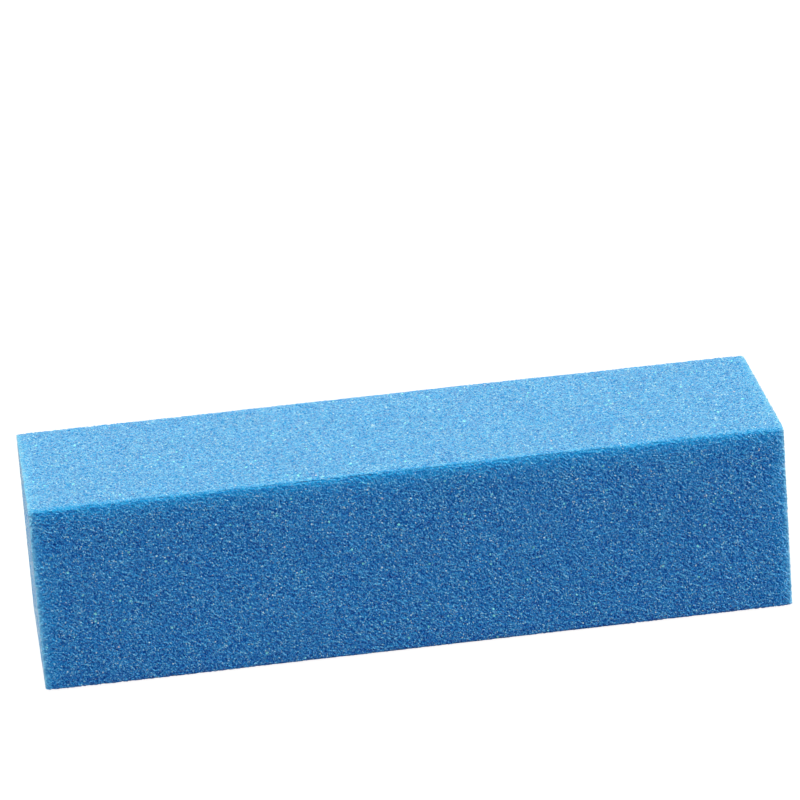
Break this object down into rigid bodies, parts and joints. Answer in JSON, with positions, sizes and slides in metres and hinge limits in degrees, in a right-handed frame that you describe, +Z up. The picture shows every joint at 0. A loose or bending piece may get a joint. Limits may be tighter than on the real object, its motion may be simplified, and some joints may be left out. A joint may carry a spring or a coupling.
{
  "type": "nail buffer block",
  "caption": "Rectangular foam nail buffer block with abrasive grit bonded to its long faces, for filing and smoothing nails; bare foam shows at the cut ends.",
  "frame": {"origin": "middle of the bottom face, on the surface that the block lies on", "axes": "+X along the block's length, +Y to the back, +Z up"},
  "size_m": [0.095, 0.025, 0.025],
  "materials": {
    "foam": "matte",
    "bond_resin": "satin",
    "grit": "matte"
  },
  "bodies": {
    "root": {"foam_core": "foam", "top_resin_bond": "bond_resin", "front_resin_bond": "bond_resin", "back_resin_bond": "bond_resin", "bottom_resin_bond": "bond_resin", "top_grit_coat": "grit", "front_grit_coat": "grit", "back_grit_coat": "grit", "bottom_grit_coat": "grit"}
  },
  "joints": []
}
